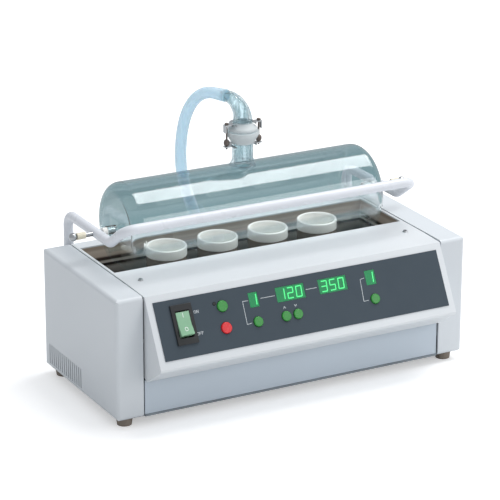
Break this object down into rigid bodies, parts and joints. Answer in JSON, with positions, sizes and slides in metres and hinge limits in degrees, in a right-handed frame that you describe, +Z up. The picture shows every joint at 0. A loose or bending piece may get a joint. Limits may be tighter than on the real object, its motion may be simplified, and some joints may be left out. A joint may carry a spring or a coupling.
{
  "type": "block digester",
  "caption": "Infrared bench digester with a row of crucibles in a heated well, a sloped control console and a hinged glass suction hood with its hose.",
  "frame": {"origin": "on the bench, under the middle of the instrument without its free hose", "axes": "+X right as seen from the front, +Y back, +Z up"},
  "size_m": [0.51, 0.5231, 0.371],
  "materials": {
    "cover": "satin light grey enamel",
    "chassis": "grey zinc-plated sheet",
    "console_white": "satin white enamel",
    "panel_blue_grey": "satin blue-grey enamel",
    "rear_grey": "satin light grey enamel",
    "foot_rubber": "matt rubber",
    "panel_slate": "matt film",
    "black_plastic": "matt black",
    "rocker_green": "translucent pale green",
    "button_green": "glossy green",
    "button_red": "glossy red",
    "display": "green lit window",
    "board": "circuit board",
    "well_black": "matt black, heat-stained",
    "liner_steel": "heat-stained steel",
    "mirror_metal": "polished",
    "heater_quartz": "milky quartz tube",
    "ceramic": "unglazed porcelain white",
    "sleeve_quartz": "brown-grey tinted quartz",
    "frame_tube": "bright satin tube",
    "hood_glass": "clear grey-teal glass",
    "elbow_glass": "clear glass, ground at the joint",
    "steel": "brushed steel",
    "knob_grey": "brown-grey knurled",
    "grip_cream": "cream sleeve",
    "washer_white": "white",
    "bumper_rubber": "soft black rubber",
    "hose_plastic": "translucent pale blue tube",
    "fitting": "dark grey"
  },
  "bodies": {
    "housing": {"left_cover": "cover", "right_cover": "cover", "side_plates": "chassis", "console": "console_white", "lower_front_panel": "panel_blue_grey", "rear_panel": "rear_grey", "base_plate": "chassis", "feet": "foot_rubber", "control_panel": "panel_slate", "switch_bezel": "black_plastic", "start_lamp": "black_plastic", "step_display": "display", "time_display": "display", "temperature_display": "display", "program_display": "display", "control_board": "board", "power_board": "board", "well_liner": "liner_steel", "crucible_deck": "well_black", "reflector": "mirror_metal", "heater_tubes": "heater_quartz", "heater_sockets": "ceramic", "sleeve_1": "sleeve_quartz", "sleeve_2": "sleeve_quartz", "sleeve_3": "sleeve_quartz", "sleeve_4": "sleeve_quartz", "hinge_brackets": "steel", "hinge_pins": "steel", "rest_bumpers": "bumper_rubber", "power_inlet": "black_plastic", "fuse_holders": "black_plastic", "top_screws": "steel", "rear_screws": "steel", "base_screws": "steel", "hose": "hose_plastic", "hose_coil": "hose_plastic", "hose_fitting": "fitting"},
    "hood": {"lifting_frame": "frame_tube", "glass_hood": "hood_glass", "glass_neck": "hood_glass", "elbow": "elbow_glass", "joint_clamp": "steel", "clamp_screws": "knob_grey", "pin_washers": "washer_white"},
    "left_pin": {"left_pin": "steel", "left_pin_grip": "grip_cream"},
    "right_pin": {"right_pin": "steel", "right_pin_grip": "grip_cream"},
    "rocker": {"rocker": "rocker_green"},
    "start_button": {"start_button": "button_green"},
    "stop_button": {"stop_button": "button_red"},
    "step_button": {"step_button": "button_green"},
    "time_up_button": {"time_up_button": "button_green"},
    "time_down_button": {"time_down_button": "button_green"},
    "program_button": {"program_button": "button_green"},
    "crucible_1": {"crucible_1": "ceramic"},
    "crucible_2": {"crucible_2": "ceramic"},
    "crucible_3": {"crucible_3": "ceramic"},
    "crucible_4": {"crucible_4": "ceramic"}
  },
  "joints": [
    {"name": "hood_lift", "type": "hinge", "parent": "housing", "child": "hood", "pos_m": [0, 0.1345, 0.158], "axis": [-1, 0, 0], "range_deg": [0, 75], "deforming": ["hose"]},
    {"name": "left_pin_slide", "type": "slide", "parent": "hood", "child": "left_pin", "axis": [-1, 0, 0], "range_m": [0, 0.012]},
    {"name": "right_pin_slide", "type": "slide", "parent": "hood", "child": "right_pin", "axis": [1, 0, 0], "range_m": [0, 0.012]},
    {"name": "power_rocker", "type": "hinge", "parent": "housing", "child": "rocker", "pos_m": [-0.1715, -0.11735, 0.13544], "axis": [1, 0, 0], "range_deg": [0, 16]},
    {"name": "start_press", "type": "slide", "parent": "housing", "child": "start_button", "axis": [0, 0.8786, -0.4775], "range_m": [0, 0.001], "stiffness_N_per_m": 300},
    {"name": "stop_press", "type": "slide", "parent": "housing", "child": "stop_button", "axis": [0, 0.8786, -0.4775], "range_m": [0, 0.001], "stiffness_N_per_m": 300},
    {"name": "step_press", "type": "slide", "parent": "housing", "child": "step_button", "axis": [0, 0.8786, -0.4775], "range_m": [0, 0.001], "stiffness_N_per_m": 300},
    {"name": "time_up_press", "type": "slide", "parent": "housing", "child": "time_up_button", "axis": [0, 0.8786, -0.4775], "range_m": [0, 0.001], "stiffness_N_per_m": 300},
    {"name": "time_down_press", "type": "slide", "parent": "housing", "child": "time_down_button", "axis": [0, 0.8786, -0.4775], "range_m": [0, 0.001], "stiffness_N_per_m": 300},
    {"name": "program_press", "type": "slide", "parent": "housing", "child": "program_button", "axis": [0, 0.8786, -0.4775], "range_m": [0, 0.001], "stiffness_N_per_m": 300},
    {"name": "crucible_1_lift", "type": "slide", "parent": "housing", "child": "crucible_1", "axis": [0, 0, 1], "range_m": [0, 0.05]},
    {"name": "crucible_2_lift", "type": "slide", "parent": "housing", "child": "crucible_2", "axis": [0, 0, 1], "range_m": [0, 0.05]},
    {"name": "crucible_3_lift", "type": "slide", "parent": "housing", "child": "crucible_3", "axis": [0, 0, 1], "range_m": [0, 0.05]},
    {"name": "crucible_4_lift", "type": "slide", "parent": "housing", "child": "crucible_4", "axis": [0, 0, 1], "range_m": [0, 0.05]}
  ]
}
